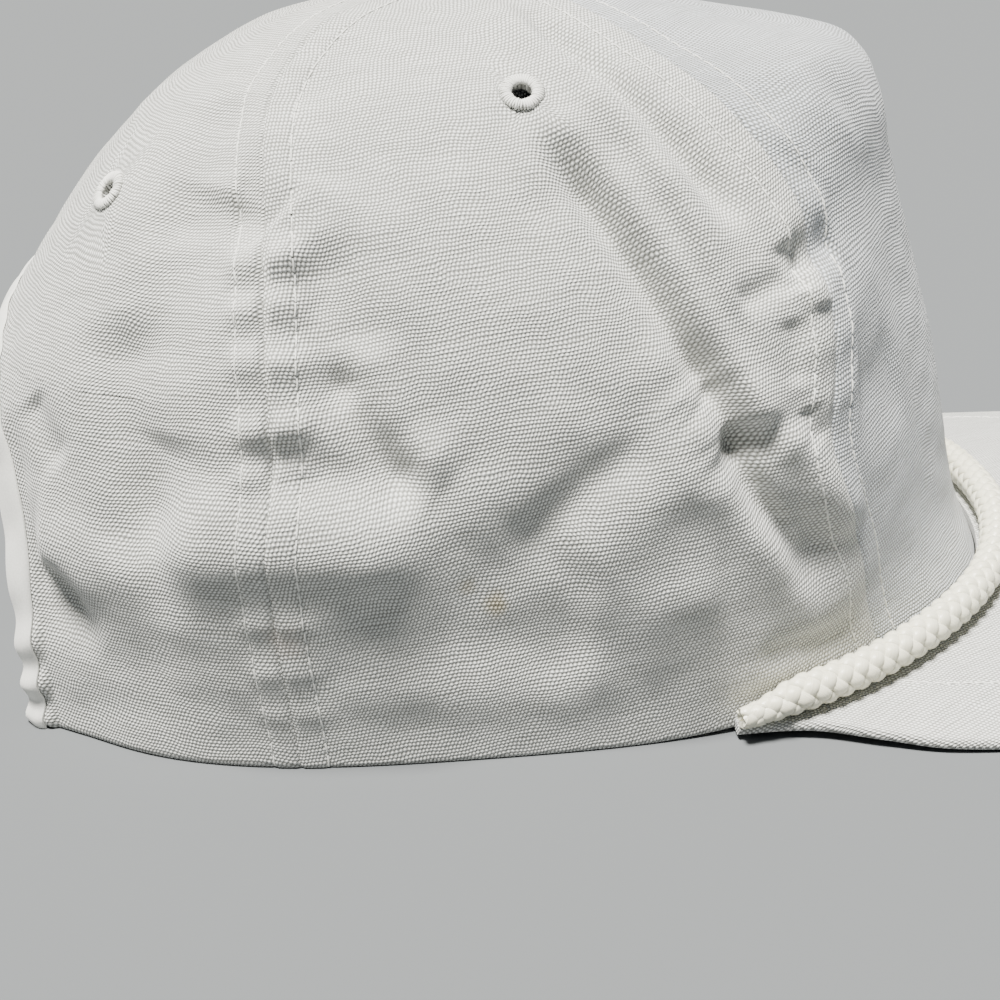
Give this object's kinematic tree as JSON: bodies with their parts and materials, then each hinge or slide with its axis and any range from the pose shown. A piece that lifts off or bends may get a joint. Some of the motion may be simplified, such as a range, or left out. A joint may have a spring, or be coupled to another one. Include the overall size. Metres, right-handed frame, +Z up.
{
  "type": "rope hat",
  "caption": "White cotton cap with a soft panelled crown, an upright front panel, a flat stiff brim, a plaited cord along the join and an arched back opening with a strap.",
  "frame": {"origin": "middle of the bounding box in plan, on the floor under the hat", "axes": "+Z up, -Y the way the brim points, +X the wearer's left"},
  "size_m": [0.183, 0.2732, 0.1372],
  "materials": {
    "canvas": "matt plain weave cotton",
    "cord": "satin plaited cord",
    "tape": "smooth matt tape",
    "thread": "sewn thread"
  },
  "bodies": {
    "root": {"front_panel": "canvas", "side_panel_right": "canvas", "side_panel_left": "canvas", "back_panel_right": "canvas", "back_panel_left": "canvas", "opening_binding": "tape", "brim": "canvas", "rope": "cord", "top_button": "canvas", "eyelet_side_right": "thread", "eyelet_side_left": "thread", "eyelet_back_right": "thread", "eyelet_back_left": "thread", "back_strap": "canvas"}
  },
  "joints": []
}
